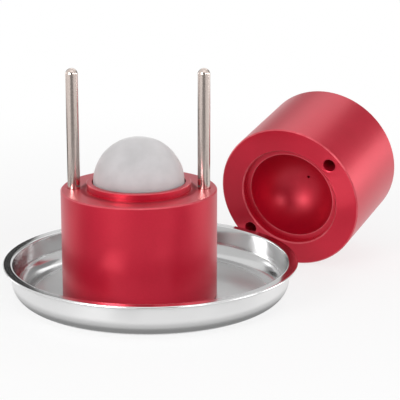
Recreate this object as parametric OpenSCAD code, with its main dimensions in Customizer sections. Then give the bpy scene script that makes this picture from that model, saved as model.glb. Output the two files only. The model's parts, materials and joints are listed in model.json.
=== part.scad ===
// Ice ball press: two solid aluminium mould halves, two guide rods, a drip tray and the ball
// of ice that the halves melt to shape.  Millimetres, +Z up, the origin is the centre of the
// tray's underside.  The press stands open: the lower half is in the tray, and the upper half
// lies beside the tray with its cavity towards the front.

/* [Ball] */
// Diameter of the ball that the two cavities form together
ball_d = 60; // [50:1:75]
// How much has melted off the radius of the ball of ice
ice_melt = 0.8; // [0.3:0.1:3]
// Gap under the ball, where it rests in the lower cavity
ice_gap = 0.3; // [0.1:0.05:0.3]

/* [Mould halves] */
// Height of each half, without the collar
block_h = 71; // [55:1:100]
// Metal between a guide bore and the outside wall of a half
outer_wall = 4.3; // [3:0.1:12]
// Chamfer on the outer edges of both halves
edge_chamfer = 0.8; // [0.3:0.1:2]

/* [Collar and recess] */
// Wall of the collar around the lower cavity
collar_wall = 3.5; // [2:0.1:8]
// Height of the collar above the top face of the lower half
collar_h = 4.5; // [2:0.1:8]
// Chamfer on the outer edge of the collar
collar_chamfer = 0.4; // [0.1:0.1:0.8]
// Clearance all round the collar in the recess of the upper half
recess_gap = 0.5; // [0.2:0.05:1.5]
// Clearance between the top of the collar and the floor of the recess
recess_floor_gap = 0.1; // [0.05:0.05:0.5]
// Chamfer around the mouth of the recess
mouth_chamfer = 0.8; // [0.3:0.1:1.5]

/* [Guide rods] */
// Diameter of a guide rod
rod_d = 8; // [6:0.5:12]
// Length of rod that shows above the closed press
rod_show = 6.5; // [3:0.1:20]
// How much lower than a half ball the domed tip of a rod is
tip_flat = 0.6; // [0.2:0.1:2]
// Radial clearance of a rod in its guide bore in the upper half
rod_gap = 0.2; // [0.05:0.05:0.5]
// Metal between the mouth of the recess and a guide bore
rod_land = 2.5; // [1.5:0.1:8]
// Chamfer at each end of a guide bore and at the mouth of a socket
bore_chamfer = 0.7; // [0.3:0.1:1.2]
// Depth of the plain socket that takes the foot of a rod in the lower half
socket_depth = 10; // [6:1:20]
// Diameter of the thinner stem below the foot of a rod
stem_d = 6; // [4:0.5:7]
// Length of the stem
stem_h = 12; // [8:1:18]
// Radial clearance of a rod's foot and stem in the lower half
socket_gap = 0.05; // [0.02:0.01:0.15]
// Space left under the end of the stem
stem_end_gap = 2; // [0.5:0.5:5]

/* [Vent and drain] */
// Diameter of the vent from the pole of the upper cavity
vent_d = 2; // [1:0.5:4]
// Diameter of the drain from the pole of the lower cavity
drain_d = 3; // [1:0.5:6]
// Chamfer where the vent and the drain come out
hole_chamfer = 0.6; // [0.3:0.1:1.5]

/* [Drip tray] */
// Outside diameter of the tray's wall
tray_wall_d = 180; // [145:1:220]
// Height of the tray
tray_h = 23; // [18:0.5:40]
// Thickness of the tray's sheet
sheet = 0.9; // [0.6:0.1:2]
// Outside radius of the bend between floor and wall
corner_r = 12; // [6:0.5:16]
// Width of the flange from the wall to the rim
flange_w = 5.5; // [4:0.5:12]
// Radius inside the bend between wall and flange
neck_r = 0.6; // [0.5:0.1:2.5]
// Radius of the curled edge of the rim
bead_r = 0.9; // [0.6:0.1:1.8]

/* [Layout] */
// The press stands this far along X from the middle of the tray
press_x = -7; // [-10:0.1:10]
// The press stands this far along Y from the middle of the tray
press_y = -4; // [-10:0.1:10]
// Gap between the rim of the tray and the face of the upper half beside it
lie_gap = 1.7; // [1:0.1:20]
// Direction from the tray's middle in which the upper half points
lie_azimuth = 63; // [40:1:85]
// Sideways place of the upper half along the rim of the tray
lie_shift = -56.5; // [-70:0.1:-40]
// Tilt of the upper half's axis from upright
lie_tilt = 78.7; // [70:0.1:90]
// Turn of the upper half about its own axis
lie_roll = 48.5; // [0:0.5:90]

/* [Hidden] */
$fn = 120;
ball_r = ball_d / 2;
rod_r = rod_d / 2;
tip_h = rod_r - tip_flat;
stem_r = stem_d / 2;
bore_r = rod_r + rod_gap;
socket_r = rod_r + socket_gap;
collar_r = ball_r + collar_wall;
recess_r = collar_r + recess_gap;
recess_depth = collar_h + recess_floor_gap;
rod_x = recess_r + mouth_chamfer + rod_land + bore_r;
block_r = rod_x + bore_r + outer_wall;
rod_reach = block_h + rod_show;
tray_wall_r = tray_wall_d / 2;
rim_r = tray_wall_r + flange_w;
floor_r = tray_wall_r - corner_r;
lie_height = block_r * sin(lie_tilt) - edge_chamfer * cos(lie_tilt);
lie_reach = rim_r + lie_gap - (lie_height - tray_h) / tan(lie_tilt);
over = 1;
anodised_red = [0.70, 0.10, 0.18];
satin_steel = [0.74, 0.73, 0.71];
polished_steel = [0.80, 0.81, 0.82];
frosted_ice = [0.87, 0.86, 0.87];

// A solid turned cylinder with both of its edges chamfered
module turned(r, h, bottom_chamfer, top_chamfer) {
    rotate_extrude()
        polygon([[0, 0], [r - bottom_chamfer, 0], [r, bottom_chamfer],
                 [r, h - top_chamfer], [r - top_chamfer, h], [0, h]]);
}

// The cut that chamfers the mouth of a hole of radius r in a face at z = 0, from above
module countersink(r, chamfer) {
    rotate_extrude()
        polygon([[0, -chamfer - r], [r + chamfer + over, over], [0, over]]);
}

// A quarter of a bent sheet in a section: outer radius r, thickness t, in the first quadrant
module bend(r, t) {
    intersection() {
        difference() {
            circle(r = r);
            circle(r = r - t);
        }
        square(r + over);
    }
}

// One guide rod, standing on the foot face of its socket at z = 0
module guide_rod() {
    length = socket_depth + rod_reach;
    tip_r = (rod_r * rod_r + tip_h * tip_h) / (2 * tip_h);
    intersection() {
        cylinder(r = rod_r, h = length);
        union() {
            cylinder(r = rod_r + over, h = length - tip_h);
            translate([0, 0, length - tip_r]) sphere(r = tip_r);
        }
    }
    mirror([0, 0, 1]) turned(stem_r, stem_h, 0, stem_r / 4);
}

// Everything that stands with the lower half: its underside is at z = 0
module at_press() {
    translate([press_x, press_y, sheet]) children();
}

// The upper half's place beside the tray: its face is at z = 0 and its axis along +Z before
module lying_down() {
    rotate([0, 0, lie_azimuth]) translate([lie_reach, lie_shift, lie_height])
        rotate([0, lie_tilt, 0]) rotate([0, 0, lie_roll]) children();
}

// Round tray of drawn stainless sheet: floor, bend, wall, flange and a curled rim
module drip_tray() {
    color(polished_steel) rotate_extrude() {
        square([floor_r, sheet]);
        translate([floor_r, corner_r]) mirror([0, 1]) bend(corner_r, sheet);
        translate([tray_wall_r - sheet, corner_r])
            square([sheet, tray_h - sheet - neck_r - corner_r]);
        translate([tray_wall_r + neck_r, tray_h - sheet - neck_r])
            mirror([1, 0]) bend(neck_r + sheet, sheet);
        translate([tray_wall_r + neck_r, tray_h - sheet])
            square([flange_w - neck_r - bead_r, sheet]);
        translate([rim_r - bead_r, tray_h - bead_r]) circle(r = bead_r, $fn = 24);
    }
}

// Lower half: half of the ball's cavity in a raised collar, a socket for each rod and a drain
module lower_mould() {
    color(anodised_red) at_press() difference() {
        union() {
            turned(block_r, block_h, edge_chamfer, edge_chamfer);
            translate([0, 0, block_h - over])
                turned(collar_r, collar_h + over, 0, collar_chamfer);
        }
        translate([0, 0, block_h + collar_h]) sphere(r = ball_r);
        for (side = [-1, 1]) translate([side * rod_x, 0, block_h]) {
            translate([0, 0, -socket_depth]) cylinder(r = socket_r, h = socket_depth + over);
            translate([0, 0, -socket_depth - stem_h - stem_end_gap])
                cylinder(r = stem_r + socket_gap, h = stem_h + stem_end_gap + over);
            countersink(socket_r, bore_chamfer);
        }
        translate([0, 0, -over]) cylinder(d = drain_d, h = block_h);
        mirror([0, 0, 1]) countersink(drain_d / 2, hole_chamfer);
    }
}

// A rod in its socket, on the left (-1) or the right (1)
module standing_rod(side) {
    color(satin_steel) at_press()
        translate([side * rod_x, 0, block_h - socket_depth]) guide_rod();
}

module guide_rod_left() {
    standing_rod(-1);
}

module guide_rod_right() {
    standing_rod(1);
}

// The ball of ice that the press has made, resting low in the lower cavity
module ice_ball() {
    color(frosted_ice) at_press()
        translate([0, 0, block_h + collar_h - ice_melt + ice_gap])
            sphere(r = ball_r - ice_melt);
}

// Upper half: the recess that takes the collar, the other half of the cavity, two through
// bores for the rods and a vent from the pole of the cavity
module upper_mould() {
    color(anodised_red) lying_down() difference() {
        turned(block_r, block_h, edge_chamfer, edge_chamfer);
        translate([0, 0, -over]) cylinder(r = recess_r, h = recess_depth + over);
        rotate_extrude()
            polygon([[0, -over], [recess_r + mouth_chamfer + over, -over],
                     [recess_r, mouth_chamfer], [0, mouth_chamfer]]);
        translate([0, 0, recess_depth]) sphere(r = ball_r);
        for (side = [-1, 1]) translate([side * rod_x, 0, 0]) {
            translate([0, 0, -over]) cylinder(r = bore_r, h = block_h + 2 * over);
            mirror([0, 0, 1]) countersink(bore_r, bore_chamfer);
            translate([0, 0, block_h]) countersink(bore_r, bore_chamfer);
        }
        translate([0, 0, recess_depth]) cylinder(d = vent_d, h = block_h);
        translate([0, 0, block_h]) countersink(vent_d / 2, hole_chamfer);
    }
}

drip_tray();
lower_mould();
guide_rod_left();
guide_rod_right();
ice_ball();
upper_mould();
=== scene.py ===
# %% [markdown]
# # An ice ball press, dressed for a photograph
#
# The press is two heavy aluminium halves that melt a block of ice into a ball. It stands
# open: the lower half is in a round steel tray with its ball, and the upper half lies
# beside the tray. This notebook turns each piece from a drawn half outline, as a lathe
# would, and then gives it the finish of the real metal or ice.
#
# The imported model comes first. It is the fixed frame: every size and place that can be
# read from it is read from it, so that the pieces made here sit exactly on its joints.

# %% Load the frame
import bpy
import bmesh
import json
import math
from mathutils import Matrix, Vector, noise


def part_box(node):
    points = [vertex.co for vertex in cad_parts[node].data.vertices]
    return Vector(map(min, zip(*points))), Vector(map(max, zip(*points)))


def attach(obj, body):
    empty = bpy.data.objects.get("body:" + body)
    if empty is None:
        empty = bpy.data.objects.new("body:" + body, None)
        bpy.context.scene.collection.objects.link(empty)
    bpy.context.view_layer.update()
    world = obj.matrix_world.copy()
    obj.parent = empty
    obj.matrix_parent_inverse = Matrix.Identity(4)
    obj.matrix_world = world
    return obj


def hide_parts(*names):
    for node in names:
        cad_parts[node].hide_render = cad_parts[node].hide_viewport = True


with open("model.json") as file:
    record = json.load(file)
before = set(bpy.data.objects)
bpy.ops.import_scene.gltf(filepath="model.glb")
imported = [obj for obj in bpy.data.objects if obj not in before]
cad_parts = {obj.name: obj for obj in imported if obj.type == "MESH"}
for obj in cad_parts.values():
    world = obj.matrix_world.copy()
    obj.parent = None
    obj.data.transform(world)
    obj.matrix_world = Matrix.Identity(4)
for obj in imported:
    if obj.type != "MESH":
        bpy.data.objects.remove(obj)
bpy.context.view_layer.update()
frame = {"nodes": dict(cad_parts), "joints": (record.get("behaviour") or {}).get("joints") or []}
print("nodes:", ", ".join(frame["nodes"]))

# %% [markdown]
# The sections are drawn in millimetres, because the real drawings are. The boxes of the
# CAD nodes give the main sizes of the tray, the halves, the rods and the ball.

# %% Main sizes, in millimetres
MM = 0.001


def span(node):
    """Lowest and highest corner of a CAD node, in millimetres."""
    low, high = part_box(node)
    return low / MM, high / MM


tray_low, tray_high = span("drip_tray")
lower_low, lower_high = span("lower_mould")
left_low, left_high = span("guide_rod_left")
right_low, _ = span("guide_rod_right")
ice_low, ice_high = span("ice_ball")

collar_h = 4.5
rim_r = (tray_high.x - tray_low.x) / 2
tray_h = tray_high.z
sheet = lower_low.z
block_r = (lower_high.x - lower_low.x) / 2
block_h = lower_high.z - sheet - collar_h
press_at = Vector(((lower_low.x + lower_high.x) / 2, (lower_low.y + lower_high.y) / 2, sheet))
rod_r = (left_high.x - left_low.x) / 2
rod_x = (right_low.x - left_low.x) / 2
rod_top = left_high.z - sheet
ice_r = (ice_high.x - ice_low.x) / 2
ice_at = (ice_low + ice_high) / 2
print(f"rim {2 * rim_r:.1f}, halves {2 * block_r:.1f} by {block_h:.1f}, rods {2 * rod_x:.1f} apart")

# %% [markdown]
# What a box doesn't show is named here: the tray's bends, the chamfers, the collar and
# the recess that takes it, the rods' feet and stems, and the small holes.

# %% Details, in millimetres
flange_w = 5.5
corner_r = 12
neck_r = 0.6
bead_r = 0.9

edge_chamfer = 0.8
collar_r = 33.5
collar_chamfer = 0.4
ball_r = 30
recess_r = 34
recess_depth = 4.6
mouth_chamfer = 0.8
closed_gap = 0.1

tip_h = rod_r - 0.6
stem_r = 3
stem_h = 12
stem_chamfer = 0.75
socket_depth = 10
socket_r = 4.05
stem_hole_r = 3.05
stem_end_gap = 2
bore_r = 4.2
bore_chamfer = 0.7

drain_r = 1.5
vent_r = 1
hole_chamfer = 0.6
print(f"collar {2 * collar_r} in a recess of {2 * recess_r}, rods in bores of {2 * bore_r}")

# %% [markdown]
# The upper half is drawn upright, with its face at the bottom, and then laid down. The
# frame's hinge knows that move: it carries the upper half from where it lies to upright
# above the rods. Turning back by the hinge's full range gives the place where it lies.

# %% Where the upper half lies
swing = next(joint for joint in frame["joints"] if joint["name"] == "upper_swing")
lift = next(joint for joint in frame["joints"] if joint["name"] == "base_lift")
hover_z = sheet + block_h + lift["range_m"][1] / MM + closed_gap
pivot = Matrix.Translation(Vector(swing["pos_m"]) / MM)
turn_back = Matrix.Rotation(-math.radians(swing["range_deg"][1]), 4, Vector(swing["axis"]))
upright = Matrix.Translation((press_at.x, press_at.y, hover_z))
lying = pivot @ turn_back @ pivot.inverted() @ upright
standing = Matrix.Translation(press_at)
print("the middle of the upper half's face lies at", [round(x, 1) for x in lying.translation])

# %% [markdown]
# ## The lathe
#
# Nearly everything here is turned, so one small class does the lathe's work. It draws
# half of a section as a chain of vertices: straight lines by extruding the last vertex,
# arcs by spinning it. Corners are rounded with a vertex bevel, and a full spin makes the
# solid. Merging the doubles afterwards closes the poles on the axis.

# %% A lathe for sections
FULL_TURN = 2 * math.pi
FINE = 256
MERGE_WITHIN = 1e-4


class Section:
    """Half of a turned piece's outline, in the XZ plane: x is the radius, z the height."""

    def __init__(self, r, z):
        self.mesh = bmesh.new()
        self.first = self.mesh.verts.new((r, 0, z))
        self.last = self.first
        self.corners = []

    def line(self, r, z, rounding=0):
        """A straight line to (r, z), where the corner may be rounded."""
        made = bmesh.ops.extrude_vert_indiv(self.mesh, verts=[self.last])
        self.last = made["verts"][0]
        self.last.co = (r, 0, z)
        if rounding:
            self.corners.append((self.last, rounding))
        return self

    def arc(self, r, z, degrees, steps):
        """An arc around the point (r, z); positive turns from outwards to down."""
        made = bmesh.ops.spin(self.mesh, geom=[self.last], cent=(r, 0, z), axis=(0, 1, 0),
                              dvec=(0, 0, 0), angle=math.radians(degrees), steps=steps,
                              use_merge=False, use_duplicate=False)
        self.last = next(v for v in made["geom_last"] if isinstance(v, bmesh.types.BMVert))
        return self

    def close(self):
        """Joins the end of the outline to its start, for a piece with a hole on its axis."""
        self.mesh.edges.new((self.last, self.first))
        return self

    def turned(self, steps=FINE):
        """The outline spun into a closed solid."""
        for corner, rounding in self.corners:
            bmesh.ops.bevel(self.mesh, geom=[corner], offset=rounding, offset_type="OFFSET",
                            segments=max(3, round(rounding * 1.5) + 2), profile=0.5,
                            affect="VERTICES", material=-1)
        solid = self.mesh
        bmesh.ops.spin(solid, geom=solid.verts[:] + solid.edges[:], cent=(0, 0, 0),
                       axis=(0, 0, 1), dvec=(0, 0, 0), angle=FULL_TURN, steps=steps,
                       use_merge=True, use_duplicate=False)
        bmesh.ops.remove_doubles(solid, verts=solid.verts[:], dist=MERGE_WITHIN)
        bmesh.ops.recalc_face_normals(solid, faces=solid.faces[:])
        return solid


print("lathe ready:", FINE, "steps in a turn")

# %% [markdown]
# A turned solid becomes a piece of the scene when its place is put into its mesh and it
# is scaled from millimetres to metres. The object itself stays at the origin, as the
# CAD's objects do. Its faces are shaded smooth, apart from the edges that are sharper
# than a given angle. Those stay crisp.

# %% From solid to piece
def in_scene(name, data):
    """A new object in the scene that holds this data."""
    made = bpy.data.objects.new(name, data)
    bpy.context.scene.collection.objects.link(made)
    return made


def from_bmesh(name, made):
    """A new object whose mesh is what was made with bmesh."""
    mesh = bpy.data.meshes.new(name)
    made.to_mesh(mesh)
    made.free()
    return in_scene(name, mesh)


def as_piece(name, solid, place, sharp=28):
    """An object at the origin whose mesh is the solid at its place, in metres."""
    bmesh.ops.transform(solid, matrix=Matrix.Scale(MM, 4) @ place, verts=solid.verts[:])
    for face in solid.faces:
        face.smooth = True
    for edge in solid.edges:
        edge.smooth = edge.calc_face_angle(0) < math.radians(sharp)
    return from_bmesh(name, solid)


print("pieces are made at a scale of", MM)

# %% [markdown]
# A bore off the axis can't be spun with the block. It is drilled: a plug with the shape
# of the hole, chamfers included, is turned on the same lathe and taken away with an
# exact Boolean, as a drill and a countersink would. The result is stored as a plain
# mesh, so that no Boolean stays live on the piece.

# %% A drill for bores
PLUG_STEPS = 96
PLUG_OVER = 1
FLAT_FACE_WEIGHT = 80


def drilled(piece, plugs):
    """The piece with each plug's shape cut out of it."""
    for plug in plugs:
        cut = piece.modifiers.new("bore", "BOOLEAN")
        cut.operation = "DIFFERENCE"
        cut.solver = "EXACT"
        cut.object = plug
    bpy.context.view_layer.update()
    result = bpy.data.meshes.new_from_object(
        piece.evaluated_get(bpy.context.evaluated_depsgraph_get()))
    piece.modifiers.clear()
    piece.data = result
    result.name = piece.name
    for plug in plugs:
        bpy.data.objects.remove(plug)
    return piece


def weighted(piece):
    """Flat faces stay flat beside rounded edges: normals follow the larger faces."""
    normals = piece.modifiers.new("weighted normals", "WEIGHTED_NORMAL")
    normals.keep_sharp = True
    normals.weight = FLAT_FACE_WEIGHT
    return piece


print("a plug has", PLUG_STEPS, "steps and stands out of the block by", PLUG_OVER, "mm")

# %% [markdown]
# ## Lower half
#
# The lower half is one solid turning: a block with chamfered edges, a raised collar that
# guides the upper half, and half of the ball's cavity inside the collar. The cavity's arc
# runs down to the drain on the axis. Two stepped sockets hold the rods.

# %% Lower half
CAVITY_STEPS = 56


def socket_plug(side):
    """The stepped hole for a rod's foot and stem, chamfered at its mouth."""
    foot = block_h - socket_depth
    deepest = foot - stem_h - stem_end_gap
    mouth = socket_r + bore_chamfer + PLUG_OVER
    section = Section(0, deepest).line(stem_hole_r, deepest)
    section.line(stem_hole_r, foot).line(socket_r, foot)
    section.line(socket_r, block_h - bore_chamfer).line(mouth, block_h + PLUG_OVER)
    section.line(0, block_h + PLUG_OVER)
    place = standing @ Matrix.Translation((side * rod_x, 0, 0))
    return as_piece(f"socket_plug_{side}", section.turned(PLUG_STEPS), place)


def lower_section():
    """Half of the section of the lower half, from the drain's lower edge round to it."""
    rim_z = block_h + collar_h
    drain_angle = math.degrees(math.acos(drain_r / ball_r))
    section = Section(drain_r + hole_chamfer, 0)
    section.line(block_r - edge_chamfer, 0).line(block_r, edge_chamfer)
    section.line(block_r, block_h - edge_chamfer).line(block_r - edge_chamfer, block_h)
    section.line(collar_r, block_h).line(collar_r, rim_z - collar_chamfer)
    section.line(collar_r - collar_chamfer, rim_z).line(ball_r, rim_z)
    section.arc(0, rim_z, drain_angle, CAVITY_STEPS)
    return section.line(drain_r, hole_chamfer).close()


lower_half = as_piece("lower_half", lower_section().turned(), standing)
lower_half = weighted(drilled(lower_half, [socket_plug(-1), socket_plug(1)]))
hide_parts("lower_mould")
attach(lower_half, "base")
print("lower half:", len(lower_half.data.polygons), "faces")

# %% [markdown]
# ## Upper half
#
# The upper half has the same block, with a recess that takes the collar, the other half
# of the cavity and a small vent at its pole. The two guide bores go right through, since
# the rods are longer than the block is high.

# %% Upper half
def guide_plug(side):
    """A guide bore right through the block, chamfered at both ends."""
    wide = bore_r + bore_chamfer + PLUG_OVER
    top = block_h + PLUG_OVER
    section = Section(0, -PLUG_OVER).line(wide, -PLUG_OVER).line(bore_r, bore_chamfer)
    section.line(bore_r, block_h - bore_chamfer).line(wide, top).line(0, top)
    place = lying @ Matrix.Translation((side * rod_x, 0, 0))
    return as_piece(f"guide_plug_{side}", section.turned(PLUG_STEPS), place)


def upper_section():
    """Half of the section of the upper half, with its face at the bottom."""
    vent_angle = math.degrees(math.acos(vent_r / ball_r))
    section = Section(recess_r + mouth_chamfer, 0)
    section.line(block_r - edge_chamfer, 0).line(block_r, edge_chamfer)
    section.line(block_r, block_h - edge_chamfer).line(block_r - edge_chamfer, block_h)
    section.line(vent_r + hole_chamfer, block_h).line(vent_r, block_h - hole_chamfer)
    section.line(vent_r, recess_depth + ball_r * math.sin(math.radians(vent_angle)))
    section.arc(0, recess_depth, vent_angle, CAVITY_STEPS)
    return section.line(recess_r, recess_depth).line(recess_r, mouth_chamfer).close()


upper_half = as_piece("upper_half", upper_section().turned(), lying)
upper_half = weighted(drilled(upper_half, [guide_plug(-1), guide_plug(1)]))
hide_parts("upper_mould")
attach(upper_half, "upper")
print("upper half:", len(upper_half.data.polygons), "faces")

# %% [markdown]
# ## Guide rods
#
# Two plain ground rods with a domed tip. Below the foot each has a thinner stem that
# fixes it in the block, so the foot's shoulder seats on the floor of the socket.

# %% Guide rods
TIP_STEPS = 24


def rod_section():
    """Half of the section of a rod, from the end of its stem to its domed tip."""
    foot = block_h - socket_depth
    stem_end = foot - stem_h
    tip_r = (rod_r ** 2 + tip_h ** 2) / (2 * tip_h)
    dome = math.degrees(math.asin(rod_r / tip_r))
    section = Section(0, stem_end).line(stem_r - stem_chamfer, stem_end)
    section.line(stem_r, stem_end + stem_chamfer).line(stem_r, foot).line(rod_r, foot)
    return section.line(rod_r, rod_top - tip_h).arc(0, rod_top - tip_r, -dome, TIP_STEPS)


rods = {}
for side, word in ((-1, "left"), (1, "right")):
    place = standing @ Matrix.Translation((side * rod_x, 0, 0))
    rod = weighted(as_piece(f"rod_{word}", rod_section().turned(PLUG_STEPS), place))
    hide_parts(f"guide_rod_{word}")
    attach(rod, "base")
    rods[word] = rod
    print(rod.name, len(rod.data.polygons), "faces")

# %% [markdown]
# ## Drip tray
#
# The tray is drawn from one sheet of stainless steel: a flat floor, a generous bend, a
# short wall, and a flange whose edge is curled under. Its section follows the sheet's
# outside, goes round the curled edge and comes back along the inside. The inside is
# polished and the outside is satin, so the faces get one of two materials by the way
# they point.

# %% Drip tray
CURL = -270
CURL_STEPS = 18
LEANING = 0.3


def tray_section():
    """Half of the section of the tray, out along the underside and back along the top."""
    wall_r = rim_r - flange_w
    section = Section(0, 0).line(wall_r, 0, corner_r).line(wall_r, tray_h - sheet, neck_r)
    section.line(rim_r - 2 * bead_r, tray_h - sheet)
    section.arc(rim_r - bead_r, tray_h - bead_r, CURL, CURL_STEPS)
    section.line(wall_r - sheet, tray_h, neck_r + sheet)
    return section.line(wall_r - sheet, sheet, corner_r - sheet).line(0, sheet)


def is_inside(face):
    """True for a face of the tray that water or the eye reaches from above."""
    middle = face.calc_center_median()
    outwards = Vector((middle.x, middle.y, 0)).normalized()
    return face.normal.z > LEANING or face.normal.dot(outwards) < -LEANING


tray_solid = tray_section().turned()
for face in tray_solid.faces:
    face.material_index = 0 if is_inside(face) else 1
tray = weighted(as_piece("tray_shell", tray_solid, Matrix.Identity(4)))
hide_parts("drip_tray")
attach(tray, "tray")
print("tray:", len(tray.data.polygons), "faces")

# %% [markdown]
# ## Ball of ice
#
# A pressed ball is round but never perfect: its wet surface has shallow waves where it
# melted against the mould. A fine icosphere is moved in and out a little by smooth
# noise, by less than the gap that the ball has in its cavity.

# %% Ball of ice
WAVE_LENGTH = 14
WAVE_SHARE = 0.0035
WAVE_MIDDLE = 0.6
WAVE_SMOOTHNESS = 0.8
FINER_BY = 2.0
OCTAVES = 3
SHRINK = 0.0005

ice_solid = bmesh.new()
bmesh.ops.create_icosphere(ice_solid, subdivisions=6, radius=ice_r)
for vertex in ice_solid.verts:
    waves = noise.fractal(vertex.co / WAVE_LENGTH, WAVE_SMOOTHNESS, FINER_BY, OCTAVES)
    vertex.co *= 1 + WAVE_SHARE * (waves - WAVE_MIDDLE) - SHRINK
ice = as_piece("ball_of_ice", ice_solid, Matrix.Translation(ice_at), sharp=60)
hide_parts("ice_ball")
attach(ice, "base")
print("ice:", len(ice.data.polygons), "faces")

# %% [markdown]
# ## Writing materials as sums
#
# Shader maths is easier to read as Python than as a list of links. `Wire` wraps a socket
# and turns + - and * into Math nodes, and `Finish` makes any other node from its type,
# its settings and what goes into its sockets.

# %% A socket that can be used in sums
class Wire:
    """A socket in a finish's nodes, usable in plain sums."""

    def __init__(self, finish, socket):
        self.finish = finish
        self.socket = socket

    def math(self, operation, first, second):
        return self.finish.node("ShaderNodeMath", {"operation": operation},
                                {0: first, 1: second})

    def __add__(self, other):
        return self.math("ADD", self, other)

    def __sub__(self, other):
        return self.math("SUBTRACT", self, other)

    def __rsub__(self, other):
        return self.math("SUBTRACT", other, self)

    def __mul__(self, other):
        return self.math("MULTIPLY", self, other)

    __radd__ = __add__
    __rmul__ = __mul__


print("sums on sockets ready")

# %% [markdown]
# A finish starts as a Principled shader with its constant values. The methods add what
# varies: colours between two colours, noise, distances from a piece's axis and bumps.
# Every pattern reads Object coordinates through a Mapping node, which puts the pattern's
# middle where the piece was drawn, so the lathe's rings are centred on each piece.

# %% A material made of calls
class Finish:
    """A material whose nodes are made one call at a time."""

    def __init__(self, name, **constants):
        self.material = bpy.data.materials.new(name)
        self.material.use_nodes = True
        self.nodes = self.material.node_tree.nodes
        self.links = self.material.node_tree.links
        self.shader = self.nodes["Principled BSDF"]
        for socket, value in constants.items():
            self.shader.inputs[socket.replace("_", " ")].default_value = value

    def put(self, socket, value):
        """A wire is linked to a socket, and a plain value is set on it."""
        if isinstance(value, Wire):
            self.links.new(value.socket, socket)
        else:
            socket.default_value = value

    def node(self, kind, settings, sockets, output=0):
        """A node of this kind, with its settings made first; returns one of its outputs."""
        made = self.nodes.new(kind)
        for name, value in settings.items():
            setattr(made, name, value)
        for name, value in sockets.items():
            self.put(made.inputs[name], value)
        return Wire(self, made.outputs[output])

    def feed(self, socket, wire):
        """Sends a wire into one of the shader's own sockets."""
        self.put(self.shader.inputs[socket], wire)

    def blend(self, factor, first, second):
        """A colour between two colours."""
        return self.node("ShaderNodeMix", {"data_type": "RGBA"},
                         {0: factor, 6: first, 7: second}, 2)

    def grain(self, where, scale, detail=2.0):
        """Noise from 0 to 1; scale is in ripples per metre."""
        return self.node("ShaderNodeTexNoise", {},
                         {"Vector": where, "Scale": scale, "Detail": detail})

    def place(self, home, stretch=(1, 1, 1)):
        """Object coordinates, as seen by a piece that was drawn at home."""
        spot = self.node("ShaderNodeTexCoord", {}, {}, 3)
        location, rotation, _ = home.decompose()
        return self.node("ShaderNodeMapping", {"vector_type": "TEXTURE"},
                         {"Vector": spot, "Location": location * MM,
                          "Rotation": rotation.to_euler(), "Scale": stretch})

    def radius(self, where):
        """The distance from the axis, in metres."""
        flat = self.node("ShaderNodeVectorMath", {"operation": "MULTIPLY"},
                         {0: where, 1: (1, 1, 0)})
        return self.node("ShaderNodeVectorMath", {"operation": "LENGTH"}, {0: flat}, 1)

    def soft_step(self, value, start, end):
        """0 where the value is at start, 1 where it is at end, and smooth between them."""
        return self.node("ShaderNodeMapRange", {"interpolation_type": "SMOOTHSTEP"},
                         {"Value": value, "From Min": start, "From Max": end})

    def bump(self, height, depth, strength=1.0, below=None):
        """A normal from a height field; depth is in metres."""
        sockets = {"Height": height, "Distance": depth, "Strength": strength}
        if below:
            sockets["Normal"] = below
        return self.node("ShaderNodeBump", {}, sockets)


print("finishes ready")

# %% [markdown]
# ## Red anodised aluminium
#
# Anodising is a clear, dyed skin of oxide on blasted metal. The metal under it tints what
# it reflects, and the skin adds a pale sheen at flat angles. So the shader is half metal
# and half dyed skin, under a rough clear coat. The dye is mottled: slow clouds and a fine
# fleck move it between two reds. The blasting is a very fine grain in the bump and the
# roughness, and the lathe's rings show faintly under it.
#
# Handling wears the skin off the machined edges first, where the pale metal starts to
# show through; the same pale colour also paints a highlight along the chamfers. Each edge
# is a ring around the axis, so its mask is the distance to that ring, and a second noise
# makes the wear and the painted highlight patchy.

# %% Edges that are worn and carry a painted highlight
def near_ring(finish, radius, height, ring_r, ring_z, reach):
    """1 on a ring around the axis, such as a machined edge, fading to 0 at its reach."""
    across = radius - ring_r * MM
    along = height - ring_z * MM
    squared = across * across + along * along
    return finish.soft_step(squared, (reach * MM) ** 2, 0.0)


outer_edges = [(block_r - edge_chamfer / 2, edge_chamfer / 2),
               (block_r - edge_chamfer / 2, block_h - edge_chamfer / 2)]
collar_edges = [(collar_r, block_h + collar_h)]
mouth_edges = [(recess_r + mouth_chamfer / 2, mouth_chamfer / 2), (ball_r, recess_depth)]
print("worn edges:", len(outer_edges + collar_edges), "below,", len(outer_edges + mouth_edges), "above")

# %% Red anodised aluminium
DEEP_DYE = (0.44, 0.001, 0.017, 1)
LIGHT_DYE = (0.57, 0.004, 0.034, 1)
# The pale edge colour is partly wear and partly a painted highlight on the chamfers.
WEAR_AND_HIGHLIGHT_DYE = (0.80, 0.26, 0.29, 1)
RING_PITCH = 0.00035


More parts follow.
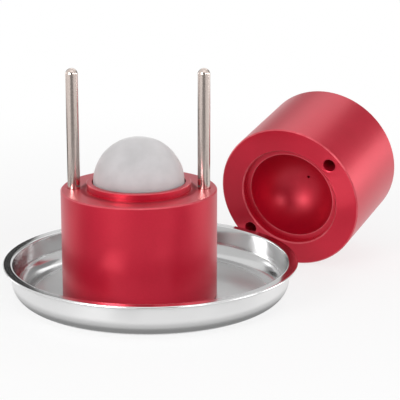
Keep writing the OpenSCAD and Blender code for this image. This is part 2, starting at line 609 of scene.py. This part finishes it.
def anodised(name, home, edges):
    """One half's finish; home is where it was drawn; edges, as (r, z), get wear and a painted
    highlight.
    """
    finish = Finish(name, Metallic=0.5, Coat_Weight=0.45, Coat_Roughness=0.34,
                    Coat_IOR=1.5, IOR=1.33)
    where = finish.place(home)
    clouds = finish.grain(where, scale=45, detail=3)
    fleck = finish.grain(where, scale=800)
    blasted = finish.grain(where, scale=5200)
    mottled = 0.5 * clouds + 0.5 * fleck
    dye = finish.blend(mottled, DEEP_DYE, LIGHT_DYE)
    radius = finish.radius(where)
    height = finish.node("ShaderNodeSeparateXYZ", {}, {0: where}, 2)
    wear_and_highlight = 0.0
    # The edge mask paints both wear and a highlight onto the machined edges.
    for ring_r, ring_z in edges:
        wear_and_highlight = near_ring(finish, radius, height, ring_r, ring_z, reach=edge_chamfer) + wear_and_highlight
    patchy = 0.05 + 0.4 * finish.grain(where, scale=220)
    finish.feed("Base Color", finish.blend(wear_and_highlight * patchy, dye, WEAR_AND_HIGHLIGHT_DYE))
    finish.feed("Roughness", 0.33 + 0.05 * mottled + 0.06 * blasted)
    rings = finish.node("ShaderNodeMath", {"operation": "SINE"},
                        {0: radius * (FULL_TURN / RING_PITCH)})
    turned = finish.bump(rings, depth=0.000002, strength=0.4)
    finish.feed("Normal", finish.bump(blasted, depth=0.000012, strength=0.5, below=turned))
    return finish.material


lower_half.data.materials.append(anodised("anodised_lower", standing, outer_edges + collar_edges))
upper_half.data.materials.append(anodised("anodised_upper", lying, outer_edges + mouth_edges))
print("anodised finish on", lower_half.name, "and", upper_half.name)

# %% [markdown]
# ## Steel
#
# The rods are satin: their brushing runs along them, so the noise is stretched along the
# rod. Their steel is a little warm in colour.

# %% Satin rods
ROD_SHADE = (0.56, 0.48, 0.44, 1)
ROD_LIGHT = (0.64, 0.55, 0.505, 1)
ALONG_ROD = 40


def satin_rod():
    """Brushed steel with its grain along the rod."""
    finish = Finish("satin_rod", Metallic=1.0)
    where = finish.place(standing, (1, 1, ALONG_ROD))
    brushed = finish.grain(where, scale=5200)
    finish.feed("Base Color", finish.blend(brushed, ROD_SHADE, ROD_LIGHT))
    finish.feed("Roughness", 0.19 + 0.06 * brushed)
    finish.feed("Normal", finish.bump(brushed, depth=0.0000005, strength=0.15))
    return finish.material


rod_finish = satin_rod()
for rod in rods.values():
    rod.data.materials.append(rod_finish)
print("rods:", rod_finish.name)

# %% [markdown]
# The tray has two finishes from one function. The inside is polished and mirrors what is
# around it, with smudges and faint rings from the polishing, but its flat floor is
# rubbed duller by the block. The outside is paler and a soft satin all over. The shade
# is the darker of the two greys that the smudges move between.

# %% Tray steel
SMUDGE_CONTRAST = 0.06
FLOOR_FADE = 0.003


def tray_steel(name, shade, roughness, spread, floor_roughness):
    """Stainless steel with faint rings from polishing; the flat floor has its own roughness."""
    finish = Finish(name, Metallic=1.0)
    where = finish.place(Matrix.Identity(4))
    smudged = finish.grain(where, scale=30, detail=3)
    radius = finish.radius(where)
    ring_place = finish.node("ShaderNodeCombineXYZ", {}, {0: radius})
    rings = finish.grain(ring_place, scale=1800)
    floor_edge = (rim_r - flange_w - corner_r) * MM
    on_floor = finish.soft_step(radius, floor_edge + FLOOR_FADE, floor_edge - FLOOR_FADE)
    lighter = shade + SMUDGE_CONTRAST
    finish.feed("Base Color", finish.blend(smudged, (shade, shade, shade, 1),
                                           (lighter, lighter, lighter, 1)))
    finish.feed("Roughness", roughness + spread * (smudged + rings)
                + (floor_roughness - roughness) * on_floor)
    finish.feed("Normal", finish.bump(rings, depth=0.000002, strength=0.3))
    return finish.material


tray.data.materials.append(tray_steel("polished_inside", shade=0.60, roughness=0.13,
                                      spread=0.03, floor_roughness=0.30))
tray.data.materials.append(tray_steel("satin_outside", shade=0.74, roughness=0.32,
                                      spread=0.05, floor_roughness=0.32))
print("tray:", [slot.name for slot in tray.material_slots])

# %% [markdown]
# ## Ice
#
# Pressed ice is cloudy in the middle and frosted by the cold metal. Light goes in and
# comes out elsewhere, which is subsurface scattering. Soft clouds vary its colour, a fine
# crystal grain roughens the surface, and a little sheen gives it the pale, misty edge
# that frost has.

# %% Frosted ice
DEEP_ICE = (0.36, 0.35, 0.355, 1)
PALE_ICE = (0.61, 0.59, 0.60, 1)


def frosted_ice():
    """Cloudy, frosted ice."""
    finish = Finish("frosted_ice", Subsurface_Weight=1.0, Subsurface_Scale=0.03,
                    Sheen_Weight=0.6, Sheen_Roughness=0.5,
                    Subsurface_Radius=(1.0, 1.0, 1.0), IOR=1.31, Coat_Weight=0.05,
                    Coat_Roughness=0.25)
    where = finish.place(standing)
    clouds = finish.grain(where, scale=55, detail=4)
    crystals = finish.grain(where, scale=1500, detail=3)
    finish.feed("Base Color", finish.blend(clouds, DEEP_ICE, PALE_ICE))
    finish.feed("Roughness", 0.45 + 0.2 * crystals)
    uneven = finish.bump(clouds, depth=0.0006, strength=0.3)
    finish.feed("Normal", finish.bump(crystals, depth=0.00006, strength=0.35, below=uneven))
    return finish.material


ice.data.materials.append(frosted_ice())
print("ice:", ice.material_slots[0].name)

# %% [markdown]
# ## The studio
#
# The floor and the surroundings are plain white. The floor is partly its own white and
# partly lit, so that it stays white and still keeps a soft shadow: its own white is three
# quarters of it close to the press, where the shadow is, and all of it further out. Metal
# sees the same white, because the Light Path node adds glossy and transmission rays to
# camera rays.

# %% White that the camera and the metal see
def seen_white(tree):
    """1 for rays from the camera, from gloss and through glass, and 0 for other rays."""
    path = tree.nodes.new("ShaderNodeLightPath")
    first = tree.nodes.new("ShaderNodeMath")
    first.operation = "MAXIMUM"
    second = tree.nodes.new("ShaderNodeMath")
    second.operation = "MAXIMUM"
    tree.links.new(path.outputs["Is Camera Ray"], first.inputs[0])
    tree.links.new(path.outputs["Is Glossy Ray"], first.inputs[1])
    tree.links.new(first.outputs[0], second.inputs[0])
    tree.links.new(path.outputs["Is Transmission Ray"], second.inputs[1])
    return second.outputs[0]


print("white shows to camera, glossy and transmission rays")

# %% White floor
FLOOR_HALF = 8
OWN_WHITE_NEAR = 0.75
OWN_WHITE_FAR = 1.0
WHITENS_FROM = 0.12
WHITENS_TO = 0.6


def white_floor():
    """A floor whose own white is mixed with how it is lit."""
    material = bpy.data.materials.new("white_floor")
    material.use_nodes = True
    tree = material.node_tree
    lit = tree.nodes["Principled BSDF"]
    lit.inputs["Base Color"].default_value = (0.9, 0.9, 0.9, 1)
    lit.inputs["Roughness"].default_value = 0.9
    lit.inputs["Specular IOR Level"].default_value = 0.0
    own = tree.nodes.new("ShaderNodeEmission")
    spot = tree.nodes.new("ShaderNodeTexCoord")
    away = tree.nodes.new("ShaderNodeVectorMath")
    away.operation = "LENGTH"
    tree.links.new(spot.outputs["Object"], away.inputs[0])
    whiter = tree.nodes.new("ShaderNodeMapRange")
    whiter.interpolation_type = "SMOOTHSTEP"
    whiter.inputs["From Min"].default_value = WHITENS_FROM
    whiter.inputs["From Max"].default_value = WHITENS_TO
    whiter.inputs["To Min"].default_value = OWN_WHITE_NEAR
    whiter.inputs["To Max"].default_value = OWN_WHITE_FAR
    tree.links.new(away.outputs["Value"], whiter.inputs["Value"])
    share = tree.nodes.new("ShaderNodeMath")
    share.operation = "MULTIPLY"
    tree.links.new(whiter.outputs["Result"], share.inputs[1])
    mix = tree.nodes.new("ShaderNodeMixShader")
    tree.links.new(seen_white(tree), share.inputs[0])
    tree.links.new(share.outputs[0], mix.inputs[0])
    tree.links.new(lit.outputs[0], mix.inputs[1])
    tree.links.new(own.outputs[0], mix.inputs[2])
    tree.links.new(mix.outputs[0], tree.nodes["Material Output"].inputs[0])
    return material


floor_mesh = bmesh.new()
bmesh.ops.create_grid(floor_mesh, x_segments=1, y_segments=1, size=FLOOR_HALF)
floor = from_bmesh("floor", floor_mesh)
floor.data.materials.append(white_floor())
print("floor:", 2 * FLOOR_HALF, "m wide")

# %% [markdown]
# The room around the floor is a plain world. It shows as full white, and it lights the
# press at less than half of that, so that colours come out about as they are written.

# %% White surroundings
ROOM_LIGHT = 0.45
ROOM_WHITE = 1.0

world = bpy.data.worlds.new("white_room")
bpy.context.scene.world = world
world.use_nodes = True
room = world.node_tree
brightness = room.nodes.new("ShaderNodeMapRange")
brightness.inputs["To Min"].default_value = ROOM_LIGHT
brightness.inputs["To Max"].default_value = ROOM_WHITE
room.links.new(seen_white(room), brightness.inputs["Value"])
room.links.new(brightness.outputs[0], room.nodes["Background"].inputs["Strength"])
room.nodes["Background"].inputs["Color"].default_value = (1, 1, 1, 1)
print("the room lights at", ROOM_LIGHT, "and shows at", ROOM_WHITE)

# %% [markdown]
# ## Lamps
#
# The lamps are large and soft. Two keys stand left and right of the camera, a little
# above the press: they make the two highlights in the open cavity. Low panels at the
# sides and a fill at the right give the round walls their paler bands, and weak, broad
# panels behind and above light the flat tops.

# %% Lamps
lit_point = Vector((0.03, 0.0, 0.06))


def lamp(name, azimuth, elevation, distance, width, height, watts):
    """An area lamp that faces the lit point; azimuth 0 is the camera's side, +90 right."""
    data = bpy.data.lights.new(name, "AREA")
    data.shape = "RECTANGLE"
    data.size = width
    data.size_y = height
    data.energy = watts
    light = in_scene(name, data)
    turn = math.radians(azimuth)
    up = math.radians(elevation)
    way = Vector((math.sin(turn) * math.cos(up), -math.cos(turn) * math.cos(up), math.sin(up)))
    light.location = lit_point + distance * way
    light.rotation_euler = way.to_track_quat("Z", "Y").to_euler()
    return light


# Name, azimuth, elevation, distance, width, height, watts
LAMPS = [("left_key", -38, 21, 1.2, 0.45, 0.45, 6.4),
         ("right_key", 34, 27, 1.2, 0.36, 0.36, 3.2),
         ("left_strip", -120, 4, 1.0, 0.3, 0.4, 0.6),
         ("right_strip", 104, 6, 1.0, 0.4, 0.4, 2.0),
         ("right_fill", 75, 16, 1.2, 0.4, 0.4, 2.2),
         ("back_panel", 172, 38, 1.2, 1.0, 0.6, 1.3),
         ("top_panel", 10, 72, 1.1, 0.8, 0.8, 1.0)]
for row in LAMPS:
    lamp(*row)
print(len(LAMPS), "lamps,", round(sum(row[-1] for row in LAMPS), 1), "W in all")

# %% [markdown]
# ## Cards
#
# Metal shows what is around it, and a photographer stands cards around it: dark ones for
# the dark bands, grey ones to calm a white. Here a card is a painted reflection: a board
# that only reflections see. It lights no matt surface and casts no shadow, so the lamps'
# light stays as it is. Its level is how bright it shows: 0 is black, 1 is the white of the
# room, and the one card far above 1 glows like a lamp, as a painted highlight.

# %% A card that shows in reflections only
def in_reflections(name, board, level):
    """The board as a piece that shows in reflections only, as bright as its level."""
    # It glows at its level, or stays dark, only where metal mirrors it: a painted reflection.
    piece = from_bmesh(name, board)
    finish = Finish(name, Base_Color=(0.02, 0.02, 0.02, 1), Roughness=1.0,
                    Specular_IOR_Level=0.0, Emission_Color=(1, 1, 1, 1),
                    Emission_Strength=level)
    piece.data.materials.append(finish.material)
    piece.visible_camera = False
    piece.visible_diffuse = False
    piece.visible_shadow = False
    return piece


def pulled(board, edge, step):
    """Extrudes an edge of the board by a step, and returns the edge that it ends in."""
    made = bmesh.ops.extrude_edge_only(board, edges=[edge])["geom"]
    fresh = [part for part in made if isinstance(part, bmesh.types.BMVert)]
    bmesh.ops.translate(board, verts=fresh, vec=step)
    return next(part for part in made if isinstance(part, bmesh.types.BMEdge)
                and all(vertex in fresh for vertex in part.verts))


print("cards are kept from camera, diffuse and shadow rays")

# %% [markdown]
# Cards come in three shapes, each extruded or spun from one edge. A plain card lies on
# the floor and stands up at its far end. A bent card follows a circle around the tray or
# the press. A wall card stands between two points of the floor. All distances are in
# metres from the middle of the tray, apart from a bent card's, which has its own centre.

# %% Three shapes of card
BEND_STEPS = 64


def heading(azimuth):
    """The level direction of an azimuth, and the direction to its right."""
    turn = math.radians(azimuth)
    return (Vector((math.sin(turn), -math.cos(turn), 0)),
            Vector((math.cos(turn), math.sin(turn), 0)))


def card(name, level, azimuth, near, far, width, height, start_height=0.001):
    """A card that lies level from near to far and stands up there."""
    board = bmesh.new()
    way, side = heading(azimuth)
    start = way * near + Vector((0, 0, start_height))
    corners = [board.verts.new(start + side * across) for across in (-width / 2, width / 2)]
    edge = board.edges.new(corners)
    for step in (way * (far - near), Vector((0, 0, height))):
        edge = pulled(board, edge, step)
    return in_reflections(name, board, level)


def bent_card(name, level, centre, first, last, azimuth, sweep):
    """A card bent around a centre: its edge goes from first to last, both as (r, z)."""
    board = bmesh.new()
    way, _ = heading(azimuth)
    ends = [board.verts.new(centre + way * r + Vector((0, 0, z))) for r, z in (first, last)]
    edge = board.edges.new(ends)
    bmesh.ops.spin(board, geom=[*ends, edge], cent=centre, axis=(0, 0, 1), dvec=(0, 0, 0),
                   angle=math.radians(sweep), steps=BEND_STEPS, use_merge=sweep == 360,
                   use_duplicate=False)
    return in_reflections(name, board, level)


def wall_card(name, level, left, right, low, high):
    """An upright card between two points of the floor."""
    board = bmesh.new()
    edge = board.edges.new([board.verts.new((*left, low)), board.verts.new((*right, low))])
    pulled(board, edge, Vector((0, 0, high - low)))
    return in_reflections(name, board, level)


print("bent cards have", BEND_STEPS, "steps")

# %% [markdown]
# The larger cards stand well away, and each is a painted dark or grey reflection. Two black
# ones lie left and right of the camera's line, and a grey one and a black wall face the
# press from the front: they deepen the red of the wall and the open face. A small black one
# behind darkens the left of the tray's flange, and two grey ones float behind, above the
# white of the floor.

# %% Cards around the press
# Painted reflections: black and grey boards that only the metal mirrors.
card("left_painted_dark", level=0.0, azimuth=-62, near=0.17, far=0.27, width=0.20, height=0.02)
card("right_painted_dark", level=0.0, azimuth=60, near=0.17, far=0.30, width=0.12, height=0.02)
card("front_painted_grey", level=0.25, azimuth=-2, near=0.31, far=0.9, width=0.60, height=0.3)
card("front_painted_dark_wall", level=0.0, azimuth=0, near=1.5, far=1.52, width=3.0, height=1.6)
card("flange_painted_dark", level=0.0, azimuth=-156.5, near=0.36, far=0.361, width=0.075, height=0.12,
     start_height=0.08)
card("back_painted_grey_strip", level=0.35, azimuth=180, near=0.45, far=0.451, width=1.0, height=0.16,
     start_height=0.175)
card("side_painted_grey_behind", level=0.3, azimuth=128, near=0.60, far=0.62, width=0.35, height=0.40,
     start_height=0.20)
print("cards around the press in place")

# %% [markdown]
# The others paint reflections into single places. A dark one lies on the floor behind, a
# painted dark edge for the rods. Two rings on the floor, one darker than the other, are
# mirrored as painted shade at the foot of the tray, and a small grey card as a painted grey
# reflection in the middle of its front. The bright one stands just in front of the left key
# and glows as a painted highlight that strengthens the key's own.
#
# The last five stand close to the metal. The pale cards, in and beside the tray, are painted
# reflections that keep the steel and the halves from mirroring only red, and a thin dark
# ring, mirrored in the top face around the collar's foot, is painted shade there.

# %% Cards close to the press
tray_middle = Vector((0, 0, 0))
press_axis = Vector((press_at.x, press_at.y, 0)) * MM
block_top = (sheet + block_h) * MM
painted_shade_height = block_top + 0.0008

# Painted dark reflection along the edges of the rods.
bent_card("rod_edge_painted_reflection", level=0.15, centre=tray_middle, first=(0.32, 0.002),
          last=(0.62, 0.002), azimuth=165, sweep=95)
# Painted shade: two dark rings on the floor, mirrored in the tray's lower bend.
bent_card("tray_foot_painted_shade", level=0.25, centre=tray_middle, first=(0.084, 0.0006),
          last=(0.0915, 0.0006), azimuth=0, sweep=360)
bent_card("tray_foot_painted_soft_shade", level=0.6, centre=tray_middle, first=(0.0915, 0.0006),
          last=(0.102, 0.0006), azimuth=0, sweep=360)
# Painted grey reflection in the middle of the tray's front.
card("tray_middle_painted_reflection", level=0.55, azimuth=-12, near=0.122, far=0.165, width=0.035,
     height=0.002)
# Painted highlight: a card that glows at twelve times the room's white, seen only in metal.
card("key_painted_highlight", level=12.0, azimuth=-37, near=1.18, far=1.181, width=0.6, height=0.6,
     start_height=0.25)
# Painted reflections: pale glowing cards that light nothing and show only in the metal.
bent_card("block_painted_reflection", level=0.5, centre=press_axis, first=(0.0515, 0.002),
          last=(0.0515, 0.030), azimuth=-95, sweep=-85)
bent_card("rim_painted_reflection", level=0.9, centre=tray_middle, first=(0.0963, 0.001),
          last=(0.0963, 0.022), azimuth=105, sweep=60)
# Painted shade: a dark ring seen only where the top face mirrors it, at the collar's foot.
bent_card("collar_painted_shade", level=0.15, centre=press_axis, first=(0.0342, painted_shade_height),
          last=(0.0374, painted_shade_height), azimuth=0, sweep=360)
# Painted reflections: pale glowing walls between the halves and in front of the lower half.
wall_card("middle_painted_reflection", level=0.75, left=(0.010, 0.077), right=(0.085, 0.010), low=0.012,
          high=0.075)
wall_card("front_painted_reflection", level=0.65, left=(-0.045, -0.073), right=(0.042, -0.073), low=0.002,
          high=0.021)
print("cards close to the press in place")

# %% [markdown]
# ## Camera
#
# A long lens from 15.3 degrees above, level with the line of the rods. The picture is
# taken as 400 pixels wide, in which this lens has a focal length of 1600 pixels.

# %% Camera
PICTURE = 400
FOCAL = 1600
SENSOR = 36
view_down = math.radians(15.3)
distance = 1.028
target = Vector((0.0320, 0.0, 0.0627))

camera_data = bpy.data.cameras.new("camera")
camera_data.sensor_width = SENSOR
camera_data.lens = SENSOR * FOCAL / PICTURE
camera = in_scene("camera", camera_data)
away = Vector((0, -math.cos(view_down), math.sin(view_down)))
camera.location = target + distance * away
camera.rotation_euler = away.to_track_quat("Z", "Y").to_euler()
bpy.context.scene.camera = camera
bpy.context.scene.view_settings.view_transform = "Standard"
print("lens", round(camera_data.lens), "mm")
